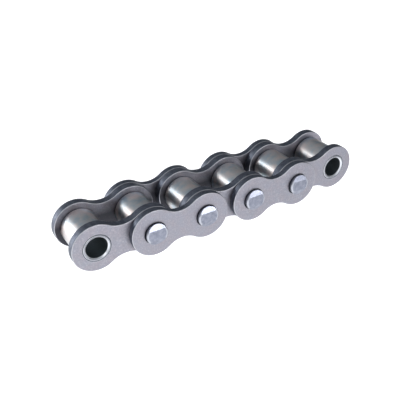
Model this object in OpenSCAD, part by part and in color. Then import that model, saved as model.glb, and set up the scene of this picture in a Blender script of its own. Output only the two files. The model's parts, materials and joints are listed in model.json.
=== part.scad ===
// Short length of single-strand roller chain, an inner link at each end.
// The chain lies straight along X. Its pins run along Y and its plates stand upright,
// so Z is the height of the plates. The origin is the middle of the chain, on the pin line.
// The front is -Y. Sizes are those of a 1 1/2 inch pitch chain.

/* [Chain] */
// Distance from one pin axis to the next
pitch = 38.1; // [37.5:0.1:40]
// Inner (roller) links; an outer (pin) link joins each neighbouring pair
inner_links = 3; // [2:1:6]
// Clear width between the two inner plates of a link
inner_width = 25.4; // [20:0.1:30]

/* [Link plates] */
// Height of the round ends of every plate
plate_h = 33.2; // [31:0.1:34.5]
// Height of an inner plate at its waist
inner_waist_h = 21.8; // [20:0.1:26]
// Height of an outer plate at its waist
outer_waist_h = 21; // [20:0.1:26]
// Thickness of an inner plate
inner_plate_t = 6; // [4:0.1:7]
// Thickness of an outer plate
outer_plate_t = 4.8; // [4:0.1:6]
// Bevel around the holes in plates and rollers
hole_bevel = 0.45; // [0.2:0.05:0.6]

/* [Rollers and bushes] */
// Outside diameter of a roller
roller_d = 25.4; // [24:0.1:26]
// Bevel at a roller's ends
roller_bevel = 1.2; // [0.5:0.1:1.5]
// Outside diameter of a bush, pressed into the inner plates
bush_d = 18.6; // [18:0.1:19.5]
// Distance that a bush stands proud of each inner plate
bush_proud = 0.26; // [0.1:0.02:0.3]
// Bevel inside the mouth of a bush
bush_mouth = 0.9; // [0.4:0.1:1.2]

/* [Pins] */
// Diameter of a pin, pressed into the outer plates
pin_d = 14.63; // [14:0.01:15]
// Diameter of a pin's riveted head
head_d = 15; // [14.9:0.1:16]
// Height of a riveted head above the outer plate
head_h = 2.85; // [2:0.05:4]
// Bevel around a riveted head
head_bevel = 0.6; // [0.3:0.1:1]
// Distance from a pin's axis to the edge of each staked flat on its head
stake_offset = 3.7; // [2:0.1:5]
// Slope of a staked flat
stake_slope = 20; // [5:1:25]

/* [Clearances] */
// Radial running clearance between pin and bush
pin_clearance = 0.025; // [0.01:0.005:0.1]
// Radial running clearance between bush and roller
roller_clearance = 0.075; // [0.02:0.005:0.1]
// Gap between a roller and the plate at each of its ends
roller_gap = 0.2; // [0.1:0.05:0.5]
// Gap between a bush's end and the outer plate
link_gap = 0.09; // [0.05:0.01:0.3]

/* [Hidden] */
$fn = 96;
joint_count = 2 * inner_links;
plate_r = plate_h / 2;
inner_plate_y = inner_width / 2;
bush_len = inner_width + 2 * (inner_plate_t + bush_proud);
outer_plate_y = bush_len / 2 + link_gap;
pin_len = 2 * (outer_plate_y + outer_plate_t + head_h);
bush_bore_d = pin_d + 2 * pin_clearance;
roller_bore_d = bush_d + 2 * roller_clearance;
roller_len = inner_width - 2 * roller_gap;
bush_edge = 0.4;
blend_relief = 0.005;
over = 1;
front = -1;
back = 1;

// Place of the i-th joint, counted from the -X end
function joint_x(i) = (i - (joint_count + 1) / 2) * pitch;

// Middle of the link whose first joint is the i-th
function link_x(i) = joint_x(i) + pitch / 2;

// Disc or rod with bevelled rims, from z = 0 to z = h
module bevelled_disc(r, h, bevel) {
    rotate_extrude()
        polygon([[0, 0], [r - bevel, 0], [r, bevel], [r, h - bevel], [r - bevel, h], [0, h]]);
}

// Tool for a hole from z = 0 to z = h that flares outwards at both of its mouths
module flared_hole(r, h, bevel) {
    rotate_extrude()
        polygon([
            [0, -over], [r + bevel + over, -over], [r + bevel, 0], [r, bevel],
            [r, h - bevel], [r + bevel, h], [r + bevel + over, h + over], [0, h + over]
        ]);
}

// Waisted outline of a plate: two round ends, blended by a hollow arc along each edge.
// The hollow is cut blend_relief deep into the round ends, so that the arcs cross cleanly.
module outline(waist_h) {
    half = pitch / 2;
    waist_r = (half * half + pow(waist_h / 2, 2) - plate_r * plate_r) / (plate_h - waist_h);
    waist_y = waist_h / 2 + waist_r;
    for (x = [-half, half])
        translate([x, 0]) circle(plate_r);
    difference() {
        polygon([[-half, 0], [0, -waist_y], [half, 0], [0, waist_y]]);
        for (y = [-waist_y, waist_y])
            translate([0, y]) circle(waist_r + blend_relief);
    }
}

// Plate lying on z = 0, with a bevelled hole in each end
module plate(thickness, waist_h, hole_d) {
    difference() {
        linear_extrude(thickness) outline(waist_h);
        for (x = [-pitch / 2, pitch / 2])
            translate([x, 0, 0]) flared_hole(hole_d / 2, thickness, hole_bevel);
    }
}

// Stands a plate upright with its inner face at distance y on the given side
module upright(x, y, side) {
    translate([x, side * y, 0]) rotate([-90 * side, 0, 0]) children();
}

module inner_plate(i, side) {
    color([0.66, 0.65, 0.70])
        upright(link_x(2 * i - 1), inner_plate_y, side)
            plate(inner_plate_t, inner_waist_h, bush_d);
}

module outer_plate(i, side) {
    color([0.66, 0.65, 0.70])
        upright(link_x(2 * i), outer_plate_y, side)
            plate(outer_plate_t, outer_waist_h, pin_d);
}

module bush(i) {
    color([0.80, 0.81, 0.84])
        translate([joint_x(i), bush_len / 2, 0]) rotate([90, 0, 0])
            difference() {
                bevelled_disc(bush_d / 2, bush_len, bush_edge);
                flared_hole(bush_bore_d / 2, bush_len, bush_mouth);
            }
}

module roller(i) {
    color([0.72, 0.75, 0.76])
        translate([joint_x(i), roller_len / 2, 0]) rotate([90, 0, 0])
            difference() {
                bevelled_disc(roller_d / 2, roller_len, roller_bevel);
                flared_hole(roller_bore_d / 2, roller_len, hole_bevel);
            }
}

// Half of a pin, from its middle at z = 0 to its riveted head with two staked flats
module half_pin() {
    head_z = outer_plate_y + outer_plate_t;
    end_z = head_z + head_h;
    difference() {
        rotate_extrude()
            polygon([
                [0, 0], [pin_d / 2, 0], [pin_d / 2, head_z], [head_d / 2, head_z],
                [head_d / 2, end_z - head_bevel], [head_d / 2 - head_bevel, end_z], [0, end_z]
            ]);
        for (flip = [0, 180])
            rotate([0, 0, flip]) translate([-head_d, stake_offset, end_z])
                rotate([-stake_slope, 0, 0]) cube([2 * head_d, head_d, head_d]);
    }
}

// Pin i holds the outer link in the (i + 1)-th joint
module pin(i) {
    color([0.70, 0.72, 0.78])
        for (side = [front, back])
            translate([joint_x(i + 1), 0, 0]) rotate([-90 * side, 0, 0]) half_pin();
}

for (i = [1:inner_links]) {
    inner_plate(i, front);
    inner_plate(i, back);
}
for (i = [1:inner_links - 1]) {
    outer_plate(i, front);
    outer_plate(i, back);
}
for (i = [1:joint_count]) {
    bush(i);
    roller(i);
}
for (i = [1:joint_count - 2]) {
    pin(i);
}
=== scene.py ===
# Roller chain: the finished look of every piece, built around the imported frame.
import json
from math import atan2, cos, pi, radians, sin

import bmesh
import bpy
from mathutils import Matrix, Vector


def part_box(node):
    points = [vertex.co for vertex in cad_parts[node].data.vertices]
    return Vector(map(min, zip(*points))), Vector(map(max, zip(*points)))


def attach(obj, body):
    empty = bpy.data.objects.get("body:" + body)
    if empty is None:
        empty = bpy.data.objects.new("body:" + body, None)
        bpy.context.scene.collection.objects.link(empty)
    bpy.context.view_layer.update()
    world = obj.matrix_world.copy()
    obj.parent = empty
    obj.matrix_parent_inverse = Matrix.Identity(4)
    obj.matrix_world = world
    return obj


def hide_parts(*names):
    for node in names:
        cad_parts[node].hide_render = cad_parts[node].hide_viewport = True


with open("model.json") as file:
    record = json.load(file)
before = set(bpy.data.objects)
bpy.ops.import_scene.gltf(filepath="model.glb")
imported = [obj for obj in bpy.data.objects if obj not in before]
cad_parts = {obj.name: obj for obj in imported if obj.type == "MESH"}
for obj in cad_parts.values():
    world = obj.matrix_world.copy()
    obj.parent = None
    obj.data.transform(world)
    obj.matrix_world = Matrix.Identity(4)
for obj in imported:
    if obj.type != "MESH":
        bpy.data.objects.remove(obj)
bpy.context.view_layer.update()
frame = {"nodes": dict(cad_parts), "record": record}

MM = 0.001
TINY = 1e-7

# Sizes that the nodes' boxes don't show, in metres
PIN_R = 7.315 * MM
BUSH_BORE_R = 7.34 * MM
ROLLER_BORE_R = 9.375 * MM
INNER_WAIST = 10.9 * MM
OUTER_WAIST = 10.5 * MM

# Edge roundings and head shapes, in metres
PLATE_ROUND = 0.6 * MM
SEAT_ROUND = 0.55 * MM
HEAD_GROOVE = 0.95 * MM
ROLLER_ROUND = 1.6 * MM
ROLLER_BORE_ROUND = 0.4 * MM
BUSH_MOUTH = 0.95 * MM
BUSH_EDGE = 0.45 * MM
BUSH_ROUND = 0.25 * MM
HEAD_CHAMFER = 0.7 * MM
HEAD_ROUND = 0.25 * MM
HEAD_FOOT_ROUND = 0.1 * MM
HEAD_H = 2.85 * MM
STAKE_OFFSET = 3.7 * MM
STAKE_SLOPE = radians(20)
STAKE_ROUND = 0.12 * MM

# Points around a turned piece
SEGMENTS = 112

# Each point of a piece carries a zone mark: 0 on its flat faces, 1 on its darkest surfaces, and
# these on the bright ones between
MOUTH_MARK = 0.5
RIM_MARK = 0.5
CHAMFER_MARK = 0.72

# The floor lies below the chain, clear of the links at every pose
FLOOR_Z = -0.1
FLOOR_SIZE = 40

# The camera stands to the left of the chain, in front of it and above it
CAMERA_AT = (-0.1923, -0.3170, 0.2156)
CAMERA_YAW = 29.87
CAMERA_PITCH = 30.87
CAMERA_ROLL = -2.01
CAMERA_LENS = 54.6


# ---------------------------------------------------------------- meshes

def arc(centre, radius, start, end, steps):
    """Points along an arc, both ends included."""
    cx, cy = centre
    turns = [start + (end - start) * i / steps for i in range(steps + 1)]
    return [(cx + radius * cos(t), cy + radius * sin(t)) for t in turns]


def rounded(points, radii, steps):
    """A closed outline whose corners are replaced by arcs of the given radii."""
    result = []
    count = len(points)
    for i, radius in enumerate(radii):
        corner = Vector(points[i])
        before = (Vector(points[i - 1]) - corner).normalized()
        after = (Vector(points[(i + 1) % count]) - corner).normalized()
        if radius <= 0:
            result.append(tuple(corner))
            continue
        half = before.angle(after) / 2
        reach = radius * cos(half) / sin(half)
        middle = corner + (before + after).normalized() * (radius / sin(half))
        first = corner + before * reach - middle
        last = corner + after * reach - middle
        start = atan2(first.y, first.x)
        sweep = atan2(last.y, last.x) - start
        sweep = (sweep + pi) % (2 * pi) - pi
        result += arc(middle, radius, start, start + sweep, steps)
    return result


def mesh_object(name, bm, at, sharp=40):
    """Turns a bmesh about its own origin into an object standing at a point. It is shaded smoothly
    except across edges that turn by more than a number of degrees."""
    bmesh.ops.recalc_face_normals(bm, faces=bm.faces)
    mesh = bpy.data.meshes.new(name)
    bm.to_mesh(mesh)
    bm.free()
    mesh.polygons.foreach_set("use_smooth", [True] * len(mesh.polygons))
    mesh.set_sharp_from_angle(angle=radians(sharp))
    piece = bpy.data.objects.new(name, mesh)
    piece.location = at
    bpy.context.scene.collection.objects.link(piece)
    return piece


def lathe(outline, closed=True):
    """Turns an outline of (radius, y, mark) points about the Y axis. Open outlines end on the axis.
    The mark is kept on each point as the value of the piece's zone attribute."""
    bm = bmesh.new()
    zone = bm.verts.layers.float.new("zone")
    turns = [2 * pi * i / SEGMENTS for i in range(SEGMENTS)]
    rings = []
    for radius, y, mark in outline:
        if radius < TINY:
            ring = [bm.verts.new((0, y, 0))]
        else:
            ring = [bm.verts.new((radius * cos(t), y, radius * sin(t))) for t in turns]
        for vert in ring:
            vert[zone] = mark
        rings.append(ring)
    pairs = list(zip(rings, rings[1:]))
    if closed:
        pairs.append((rings[-1], rings[0]))
    for a, b in pairs:
        for i in range(SEGMENTS):
            corners = [a[i % len(a)], a[(i + 1) % len(a)], b[(i + 1) % len(b)], b[i % len(b)]]
            bm.faces.new(list(dict.fromkeys(corners)))
    return bm


def marked(points, mark_of):
    """Adds to each (radius, y) point the mark that a rule gives for it."""
    return [(r, y, mark_of(r, y)) for r, y in points]


def between(low, high, value):
    """0 below low, 1 above high, a straight ramp between."""
    return min(1.0, max(0.0, (value - low) / (high - low)))


def quarter_round(radius, steps):
    """How far out and how far down a quarter round has gone after each of its steps."""
    turns = [pi / 2 * k / steps for k in range(1, steps + 1)]
    return [(radius * sin(t), radius * (1 - cos(t))) for t in turns]


def plate_half_outline(half, radius, waist):
    """The edge of the +X half of a plate, from the middle of its top to the middle of its bottom.
    Each entry is a point on the edge and the outward direction there."""
    hollow_r = (half**2 + waist**2 - radius**2) / (2 * (radius - waist))
    hollow_y = waist + hollow_r
    turn = atan2(hollow_y, half)
    hollow_steps, end_steps = 14, 56
    edge = []
    for i in range(hollow_steps):
        t = -pi / 2 + (pi / 2 - turn) * i / hollow_steps
        edge.append(((hollow_r * cos(t), hollow_y + hollow_r * sin(t)), (-cos(t), -sin(t))))
    lean = pi - turn
    for i in range(end_steps + 1):
        t = lean - 2 * lean * i / end_steps
        edge.append(((half + radius * cos(t), radius * sin(t)), (cos(t), sin(t))))
    top = edge[:hollow_steps]
    edge += [((x, -y), (nx, -ny)) for (x, y), (nx, ny) in reversed(top)]
    return edge


def plate_mesh(half, radius, waist, hole_r, hole_round, thickness, inner_side):
    """A waisted plate, thickness centred on y = 0, with rounded edges and two round holes. The face
    on its inner side, +1 or -1, is marked as the one that looks into the chain."""
    spine_steps, round_steps = 12, 4
    flat_shares = [0, 0.03, 0.18, 0.36, 0.54, 0.72, 0.86, 0.97, 1]
    edge = plate_half_outline(half, radius, waist)
    flat_edge = [(x - nx * PLATE_ROUND, z - nz * PLATE_ROUND) for (x, z), (nx, nz) in edge]
    inset = waist - PLATE_ROUND
    spine = [(0, -inset + 2 * inset * i / spine_steps) for i in range(1, spine_steps)]
    reach = flat_edge + spine
    turns = [atan2(z, x - half) for x, z in reach]
    mouth_r = hole_r + hole_round
    face_y = thickness / 2
    bm = bmesh.new()
    zone = bm.verts.layers.float.new("zone")
    inside = bm.verts.layers.float.new("inside")

    def add(x, y, z, mark, looks_in=0):
        vert = bm.verts.new((x, y, z))
        vert[zone] = mark
        vert[inside] = looks_in
        return vert

    def strip(a, b, closed):
        last = len(a) if closed else len(a) - 1
        for i in range(last):
            j = (i + 1) % len(a)
            bm.faces.new([a[i], a[j], b[j], b[i]])

    def flat_face(mirror, side):
        """Rings from the hole's mouth out to the flat's edge and the plate's middle line."""
        looks_in = 1 if side == inner_side else 0
        rings = []
        for share in flat_shares:
            ring = []
            for (x, z), t in zip(reach, turns):
                hx, hz = half + mouth_r * cos(t), mouth_r * sin(t)
                px, pz = hx + (x - hx) * share, hz + (z - hz) * share
                ring.append(add(mirror * px, side * face_y, pz, 0, looks_in))
            rings.append(ring)
        for a, b in zip(rings, rings[1:]):
            strip(a, b, True)
        return rings

    def round_rim(mirror, side, ring):
        """Rounds the plate's outer edge from the flat's ring, and returns the wall's ring."""
        for k, (out, drop) in enumerate(quarter_round(PLATE_ROUND, round_steps), 1):
            grow = out - PLATE_ROUND
            lower = [add(mirror * (x + nx * grow), side * (face_y - drop), z + nz * grow,
                         k / round_steps) for (x, z), (nx, nz) in edge]
            strip(ring, lower, False)
            ring = lower
        return ring

    def round_mouth(mirror, side, ring):
        """Rounds the hole's mouth from the flat's ring, and returns the hole's ring. The rounding
        takes the walls' dark colour: painted shade in the groove round the head or the bush.
        """
        for out, drop in quarter_round(hole_round, round_steps):
            r = mouth_r - out
            lower = [add(mirror * (half + r * cos(t)), side * (face_y - drop), r * sin(t), 1)
                     for t in turns]
            strip(ring, lower, True)
            ring = lower
        return ring

    for mirror in (1, -1):
        rims, mouths = [], []
        for side in (-1, 1):
            rings = flat_face(mirror, side)
            rims.append(round_rim(mirror, side, rings[-1][:len(edge)]))
            mouths.append(round_mouth(mirror, side, rings[0]))
        strip(*rims, False)
        strip(*mouths, True)
    bmesh.ops.remove_doubles(bm, verts=bm.verts, dist=10 * TINY)
    return bm


# ---------------------------------------------------------------- materials

# Sockets of a colour Mix node
MIX_SHARE, MIX_A, MIX_B, MIX_RESULT = 0, 6, 7, 2


class Graph:
    """A material's node tree, with short calls for the nodes used here."""

    def __init__(self, name):
        self.material = bpy.data.materials.new(name)
        self.material.use_nodes = True
        self.tree = self.material.node_tree
        self.shader = self.tree.nodes["Principled BSDF"]

    def node(self, kind, inputs=None, **settings):
        made = self.tree.nodes.new(kind)
        for key, value in settings.items():
            setattr(made, key, value)
        for key, value in (inputs or {}).items():
            if isinstance(value, bpy.types.NodeSocket):
                self.tree.links.new(value, made.inputs[key])
            else:
                made.inputs[key].default_value = value
        return made

    def coords(self):
        return self.node("ShaderNodeTexCoord").outputs["Object"]

    def place(self, stretch=(1, 1, 1)):
        """Object coordinates, different for each piece, stretched along the axes."""
        coords = self.coords()
        info = self.node("ShaderNodeObjectInfo")
        shift = self.node("ShaderNodeVectorMath", {0: info.outputs["Random"], 1: (0.9, 0.7, 0.5)},
                          operation="MULTIPLY")
        moved = self.node("ShaderNodeVectorMath", {0: coords, 1: shift.outputs[0]})
        scaled = self.node("ShaderNodeVectorMath", {0: moved.outputs[0], 1: stretch},
                           operation="MULTIPLY")
        return scaled.outputs[0]

    def height(self):
        """Height above the piece's own middle."""
        return self.node("ShaderNodeSeparateXYZ", {0: self.coords()}).outputs["Z"]

    def noise(self, vector, scale, detail=3.0, roughness=0.55):
        made = self.node("ShaderNodeTexNoise", {"Vector": vector, "Scale": scale,
                                                "Detail": detail, "Roughness": roughness})
        return made.outputs["Fac"]

    def ramp(self, value, stops):
        """A blend through (position, colour) stops."""
        made = self.node("ShaderNodeValToRGB", {"Fac": value})
        elements = made.color_ramp.elements
        while len(elements) < len(stops):
            elements.new(0.5)
        for element, (position, colour) in zip(elements, stops):
            element.position = position
            element.color = (*colour, 1)
        return made.outputs["Color"]

    def span(self, value, low, high, start=0.0, end=1.0):
        """Low up to where the value is start, high from where it is end, a ramp between."""
        made = self.node("ShaderNodeMapRange", {"Value": value, "From Min": start, "From Max": end,
                                                "To Min": low, "To Max": high})
        return made.outputs["Result"]

    def mix(self, share, a, b):
        """Colour a where the share is 0, colour b where it is 1."""
        made = self.node("ShaderNodeMix", {MIX_SHARE: share}, data_type="RGBA")
        for index, value in ((MIX_A, a), (MIX_B, b)):
            if isinstance(value, bpy.types.NodeSocket):
                self.tree.links.new(value, made.inputs[index])
            else:
                made.inputs[index].default_value = (*value, 1)
        return made.outputs[MIX_RESULT]

    def add(self, a, b, share=1.0):
        """a plus share times b."""
        return self.node("ShaderNodeMath", {0: b, 1: share, 2: a}, operation="MULTIPLY_ADD").outputs[0]

    def times(self, a, b):
        return self.node("ShaderNodeMath", {0: a, 1: b}, operation="MULTIPLY").outputs[0]

    def mark(self, name):
        """The value of one of the piece's own attributes."""
        return self.node("ShaderNodeAttribute", attribute_name=name).outputs["Fac"]

    def bump(self, height, distance, strength):
        made = self.node("ShaderNodeBump", {"Height": height, "Distance": distance,
                                            "Strength": strength})
        self.tree.links.new(made.outputs["Normal"], self.shader.inputs["Normal"])

    def finish(self, colour, roughness, metallic=1.0):
        self.shader.inputs["Metallic"].default_value = metallic
        self.tree.links.new(colour, self.shader.inputs["Base Color"])
        self.tree.links.new(roughness, self.shader.inputs["Roughness"])
        return self.material


def plate_steel():
    """Tumbled plate: fine matt grain on the faces, bright rounded edges, dark punched walls, and
    painted shade low down on the face that looks into the chain."""
    lilac, blue_grey = (0.33, 0.315, 0.355), (0.313, 0.318, 0.370)
    dark_speck, light_speck = (0.255, 0.25, 0.285), (0.48, 0.475, 0.52)
    dark_wall, light_wall = (0.10, 0.112, 0.145), (0.17, 0.185, 0.225)
    dull_rim, bright_rim = (0.50, 0.51, 0.55), (0.66, 0.66, 0.70)
    # Painted shade: near black, low on the face that looks into the chain
    painted_shade_black = (0.02, 0.021, 0.026)
    shade_full_height, shade_none_height = 2 * MM, 10 * MM

    g = Graph("plate_steel")
    zone = g.mark("zone")
    place = g.place()
    grain = g.noise(place, scale=950, roughness=0.6)
    mottle = g.noise(place, scale=190)
    face = g.ramp(mottle, [(0.35, lilac), (0.65, blue_grey)])
    face = g.mix(g.span(grain, 0.6, 0.0, start=0.35, end=0.55), face, dark_speck)
    face = g.mix(g.span(grain, 0.0, 0.6, start=0.55, end=0.75), face, light_speck)
    wall = g.ramp(g.noise(place, scale=320, detail=4.0), [(0.35, dark_wall), (0.7, light_wall)])
    rim = g.ramp(g.noise(place, scale=500, detail=2.0), [(0.35, dull_rim), (0.7, bright_rim)])
    to_rim = g.span(zone, 0.0, 1.0, start=0.05, end=0.4)
    to_wall = g.span(zone, 0.0, 1.0, start=0.55, end=0.95)
    colour = g.mix(to_wall, g.mix(to_rim, face, rim), wall)
    # Painted shade: the face that looks into the chain darkens to near black towards its bottom
    shade_low_down = g.span(g.height(), 0.88, 0.0, start=shade_full_height, end=shade_none_height)
    colour = g.mix(g.times(g.mark("inside"), shade_low_down), colour, painted_shade_black)
    rough = g.span(grain, 0.40, 0.52, start=0.3, end=0.7)
    rough = g.add(rough, to_wall, share=0.06)
    g.bump(g.add(grain, mottle, share=0.6), distance=0.03 * MM, strength=0.4)
    return g.finish(colour, rough)


def roller_steel():
    """Ground roller: satin, stained bluish and warm, with faint lines running round it, and painted
    shade on its ends and in its bore.
    """
    bluish, plain, warm = (0.42, 0.50, 0.56), (0.58, 0.58, 0.585), (0.70, 0.625, 0.605)
    dark_end = (0.14, 0.15, 0.17)
    round_lines = (40, 1400, 40)

    g = Graph("roller_steel")
    lines = g.noise(g.place(stretch=round_lines), scale=1.0)
    smear = g.noise(g.place(), scale=105)
    colour = g.ramp(smear, [(0.36, bluish), (0.5, plain), (0.64, warm)])
    # Painted shade: the marked ends and bore of the roller turn dark
    colour = g.mix(g.mark("zone"), colour, dark_end)
    rough = g.add(g.span(lines, 0.30, 0.36, start=0.3, end=0.7),
                  g.span(smear, 0.0, 0.1, start=0.35, end=0.65))
    g.bump(lines, distance=0.003 * MM, strength=0.3)
    return g.finish(colour, rough)


def bush_steel():
    """Turned bush: bright mouth, painted shade in the bore and in the groove at its outer edge."""
    dark_end, light_end = (0.31, 0.32, 0.36), (0.39, 0.40, 0.44)
    bright_mouth = (0.80, 0.82, 0.86)
    bore_and_groove_shade = (0.15, 0.175, 0.19)
    round_lines = (60, 1600, 60)

    g = Graph("bush_steel")
    zone = g.mark("zone")
    lines = g.noise(g.place(stretch=round_lines), scale=1.0)
    end = g.ramp(g.noise(g.place(), scale=260), [(0.3, dark_end), (0.7, light_end)])
    colour = g.mix(g.span(zone, 0.0, 1.0, start=0.1, end=0.4), end, bright_mouth)
    # Painted shade in the bore and on the outer edge's chamfer, in the groove against the plate
    colour = g.mix(g.span(zone, 0.0, 1.0, start=0.6, end=0.95), colour, bore_and_groove_shade)
    rough = g.add(g.span(lines, 0.24, 0.34, start=0.3, end=0.7), zone, share=0.25)
    g.bump(lines, distance=0.004 * MM, strength=0.4)
    return g.finish(colour, rough)


def pin_steel():
    """Riveted pin: blue-grey end with a bright rim, dark oxidised side."""
    dark_face, light_face = (0.205, 0.22, 0.275), (0.31, 0.325, 0.395)
    bright_rim = (0.50, 0.52, 0.58)
    dark_side = (0.085, 0.09, 0.11)

    g = Graph("pin_steel")
    zone = g.mark("zone")
    place = g.place()
    grain = g.noise(place, scale=1800, roughness=0.6)
    mottle = g.noise(place, scale=420)
    face = g.ramp(mottle, [(0.3, dark_face), (0.7, light_face)])
    colour = g.mix(g.span(zone, 0.0, 1.0, start=0.05, end=0.45), face, bright_rim)
    colour = g.mix(g.span(zone, 0.0, 1.0, start=0.6, end=0.95), colour, dark_side)
    rough = g.span(grain, 0.26, 0.40, start=0.3, end=0.7)
    g.bump(g.add(grain, mottle, share=0.5), distance=0.01 * MM, strength=0.3)
    return g.finish(colour, rough)


def floor_paint():
    """White floor with a slight glow of its own, weaker towards the front right."""
    front_right = (0.67, -0.74, 0)
    dull_white, bright_white = (0.86, 0.86, 0.865), (0.88, 0.88, 0.885)

    g = Graph("floor_white")
    coords = g.coords()
    soft = g.noise(coords, scale=3.0, detail=2.0)
    towards = g.node("ShaderNodeVectorMath", {0: coords, 1: front_right}, operation="DOT_PRODUCT")
    glow = g.span(towards.outputs["Value"], 0.48, 0.1, start=0.12, end=0.36)
    g.shader.inputs["Emission Color"].default_value = (1, 1, 1, 1)
    g.tree.links.new(glow, g.shader.inputs["Emission Strength"])
    colour = g.ramp(soft, [(0.3, dull_white), (0.7, bright_white)])
    return g.finish(colour, g.span(soft, 0.85, 0.9), metallic=0.0)


# ---------------------------------------------------------------- pieces

BODIES = frame["record"]["behaviour"]["bodies"]


def body_of(node):
    return next(body for body, nodes in BODIES.items() if node in nodes)


def stand_in(node, bm, material, sharp=40):
    """Puts a finished piece where its CAD node is, on the same body."""
    low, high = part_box(node)
    piece = mesh_object(node + "_finished", bm, (low + high) / 2, sharp)
    piece.data.materials.append(material)
    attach(piece, body_of(node))
    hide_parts(node)


def turned_size(node):
    """Outside radius and half length of a turned piece's CAD node."""
    low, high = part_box(node)
    return (high.x - low.x) / 2, (high.y - low.y) / 2


def make_plate(node, waist, hole_r, hole_round, material):
    low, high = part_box(node)
    size = high - low
    radius = size.z / 2
    inner_side = 1 if low.y < 0 else -1
    bm = plate_mesh(size.x / 2 - radius, radius, waist, hole_r, hole_round, size.y, inner_side)
    stand_in(node, bm, material)


def make_roller(node, material):
    radius, half = turned_size(node)
    corners = [(ROLLER_BORE_R, -half), (radius, -half), (radius, half), (ROLLER_BORE_R, half)]
    radii = [ROLLER_BORE_ROUND, ROLLER_ROUND, ROLLER_ROUND, ROLLER_BORE_ROUND]
    dark_r, bright_r = radius - 1.5 * MM, radius - 0.6 * MM

    # The mark paints shade: 1 on the ends and in the bore, fading to 0 out on the rounding
    def mark_of(r, _):
        return 1 - between(dark_r, bright_r, r)

    outline = marked(rounded(corners, radii, steps=7), mark_of)
    stand_in(node, lathe(outline), material)


def make_bush(node, material):
    radius, half = turned_size(node)
    mouth_r = BUSH_BORE_R + BUSH_MOUTH
    blend = 0.1 * MM
    bore_from, bore_to = BUSH_BORE_R + 0.01 * MM, BUSH_BORE_R + 0.12 * MM
    corners = []
    for end in (-1, 1):
        side = [(BUSH_BORE_R, end * (half - BUSH_MOUTH)), (mouth_r, end * half),
                (radius - BUSH_EDGE, end * half), (radius, end * (half - BUSH_EDGE))]
        corners += side if end < 0 else side[::-1]

    def mark_of(r, _):
        # The bore's and the joint's marks paint shade: in the bore, and in the groove where the outer
        # edge meets the plate
        bore = 1 - between(bore_from, bore_to, r)
        mouth = 1 - between(mouth_r - blend, mouth_r, r)
        joint = between(radius - BUSH_EDGE, radius - blend, r)
        return max(bore, MOUTH_MARK * mouth, joint)

    outline = marked(rounded(corners, [BUSH_ROUND] * len(corners), steps=4), mark_of)
    stand_in(node, lathe(outline), material)


def pin_outline(radius, half):
    """From the middle of one end face to the middle of the other, with a riveted head at each end."""
    head = [(radius, half - HEAD_H), (radius, half - HEAD_CHAMFER), (radius - HEAD_CHAMFER, half)]
    corners = [(0, -half)] + [(r, -y) for r, y in reversed(head)]
    corners += [(PIN_R, -(half - HEAD_H)), (PIN_R, half - HEAD_H)] + head + [(0, half)]
    radii = [0, HEAD_ROUND, HEAD_ROUND, HEAD_FOOT_ROUND, 0]
    outline = rounded(corners, radii + radii[::-1], steps=4)
    rings = [radius * share for share in (0.2, 0.4, 0.6, 0.79, 0.85)]
    first_face = [(r, -half) for r in rings]
    last_face = [(r, half) for r in reversed(rings)]
    return outline[:1] + first_face + outline[1:-1] + last_face + outline[-1:]


def stake(bm, half, end, edge):
    """Cuts one staked flat off the head at an end, and rounds its border."""
    zone = bm.verts.layers.float["zone"]
    whole = bm.verts[:] + bm.edges[:] + bm.faces[:]
    cut = bmesh.ops.bisect_plane(bm, geom=whole, dist=TINY, clear_outer=True,
                                 plane_co=(0, end * half, edge * STAKE_OFFSET),
                                 plane_no=(0, end * cos(STAKE_SLOPE), edge * sin(STAKE_SLOPE)))
    border = [e for e in cut["geom_cut"] if isinstance(e, bmesh.types.BMEdge)]
    bmesh.ops.edgeloop_fill(bm, edges=border)
    bmesh.ops.bevel(bm, geom=border, offset=STAKE_ROUND, segments=2, profile=0.5,
                    affect="EDGES", clamp_overlap=True)
    flat = max(bm.faces, key=lambda face: len(face.verts))
    for vert in flat.verts:
        vert[zone] = 0


def make_pin(node, material):
    radius, half = turned_size(node)
    chamfer_r, chamfer_y = radius - HEAD_CHAMFER, half - HEAD_CHAMFER
    rim_from, rim_to = chamfer_r - 0.6 * MM, chamfer_r - 0.2 * MM
    chamfer_full = chamfer_r + 0.3 * MM
    side_full, side_none = chamfer_y - 0.35 * MM, chamfer_y - 0.05 * MM

    def mark_of(r, y):
        rim = between(rim_from, rim_to, r)
        chamfer = between(chamfer_r, chamfer_full, r)
        side = 1 - between(side_full, side_none, abs(y))
        return max(RIM_MARK * rim, CHAMFER_MARK * chamfer, side)

    bm = lathe(marked(pin_outline(radius, half), mark_of), closed=False)
    for end in (-1, 1):
        for edge in (-1, 1):
            stake(bm, half, end, edge)
    stand_in(node, bm, material, sharp=5)


def make_chain():
    plate, roller, bush, pin = plate_steel(), roller_steel(), bush_steel(), pin_steel()
    bush_r = turned_size("bush_1")[0]
    for node in sorted(frame["nodes"]):
        if node.startswith("inner_plate"):
            make_plate(node, INNER_WAIST, bush_r, SEAT_ROUND, plate)
        elif node.startswith("outer_plate"):
            make_plate(node, OUTER_WAIST, PIN_R, HEAD_GROOVE, plate)
        elif node.startswith("roller"):
            make_roller(node, roller)
        elif node.startswith("bush"):
            make_bush(node, bush)
        elif node.startswith("pin"):
            make_pin(node, pin)


# ---------------------------------------------------------------- stage

def make_floor():
    bm = bmesh.new()
    bmesh.ops.create_grid(bm, x_segments=8, y_segments=8, size=FLOOR_SIZE / 2)
    floor = mesh_object("floor", bm, (0, 0, FLOOR_Z))
    floor.data.materials.append(floor_paint())


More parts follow.
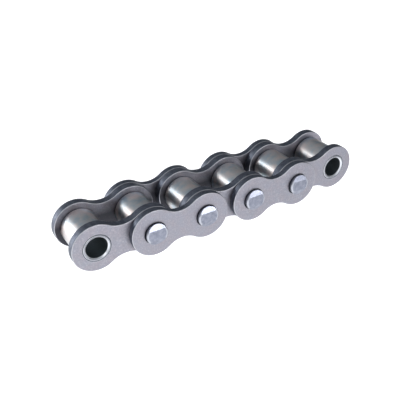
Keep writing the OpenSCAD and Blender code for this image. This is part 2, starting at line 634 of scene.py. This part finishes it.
def make_world():
    """Grey surroundings, darker to the right of the chain. The camera sees plain white there."""
    left_x, left_strength = -0.1, 0.41
    right_x, right_strength = 0.75, 0.17
    seen_strength = 1.15

    world = bpy.data.worlds.new("studio")
    world.use_nodes = True
    tree = world.node_tree
    coords = tree.nodes.new("ShaderNodeTexCoord")
    split = tree.nodes.new("ShaderNodeSeparateXYZ")
    shade = tree.nodes.new("ShaderNodeMapRange")
    rays = tree.nodes.new("ShaderNodeLightPath")
    seen = tree.nodes.new("ShaderNodeMix")
    background = tree.nodes["Background"]
    background.inputs["Color"].default_value = (0.89, 0.94, 1, 1)
    shade.inputs["From Min"].default_value = left_x
    shade.inputs["From Max"].default_value = right_x
    shade.inputs["To Min"].default_value = left_strength
    shade.inputs["To Max"].default_value = right_strength
    seen.inputs["B"].default_value = seen_strength
    tree.links.new(coords.outputs["Generated"], split.inputs[0])
    tree.links.new(split.outputs["X"], shade.inputs["Value"])
    tree.links.new(rays.outputs["Is Camera Ray"], seen.inputs["Factor"])
    tree.links.new(shade.outputs["Result"], seen.inputs["A"])
    tree.links.new(seen.outputs["Result"], background.inputs["Strength"])
    bpy.context.scene.world = world


def make_card(name, azimuth, elevation, width, height, watts):
    """A soft light card. Azimuth is counted from -Y, the front, towards +X."""
    distance = 1.6
    a, e = radians(azimuth), radians(elevation)
    at = Vector((sin(a) * cos(e), -cos(a) * cos(e), sin(e))) * distance
    light = bpy.data.lights.new(name, "AREA")
    light.shape = "RECTANGLE"
    light.size = width
    light.size_y = height
    light.energy = watts
    card = bpy.data.objects.new(name, light)
    card.location = at
    card.rotation_euler = at.to_track_quat("Z", "Y").to_euler()
    bpy.context.scene.collection.objects.link(card)


def make_overhead():
    """A wide soft sun. It isn't reflected, so what it lights is mostly the floor."""
    sun = bpy.data.lights.new("overhead", "SUN")
    sun.energy = 1.7
    sun.angle = radians(70)
    overhead = bpy.data.objects.new("overhead", sun)
    overhead.rotation_euler = (radians(8), radians(-6), 0)
    overhead.visible_glossy = False
    bpy.context.scene.collection.objects.link(overhead)


def make_lights():
    make_world()
    make_card("back_left_card", azimuth=-133, elevation=13, width=0.5, height=0.8, watts=10)
    make_card("front_right_card", azimuth=18, elevation=8, width=0.8, height=0.35, watts=8.5)
    make_card("front_left_card", azimuth=-40, elevation=32, width=0.8, height=0.6, watts=3)
    make_overhead()


def make_camera():
    data = bpy.data.cameras.new("camera")
    data.lens = CAMERA_LENS
    data.sensor_width = 36
    data.clip_start = 0.01
    camera = bpy.data.objects.new("camera", data)
    turn = Matrix.Rotation(-radians(CAMERA_YAW), 4, "Z")
    turn @= Matrix.Rotation(radians(90 - CAMERA_PITCH), 4, "X")
    turn @= Matrix.Rotation(radians(CAMERA_ROLL), 4, "Z")
    camera.matrix_world = Matrix.Translation(CAMERA_AT) @ turn
    bpy.context.scene.collection.objects.link(camera)
    bpy.context.scene.camera = camera


make_chain()
make_floor()
make_lights()
make_camera()
bpy.context.scene.view_settings.view_transform = "Standard"
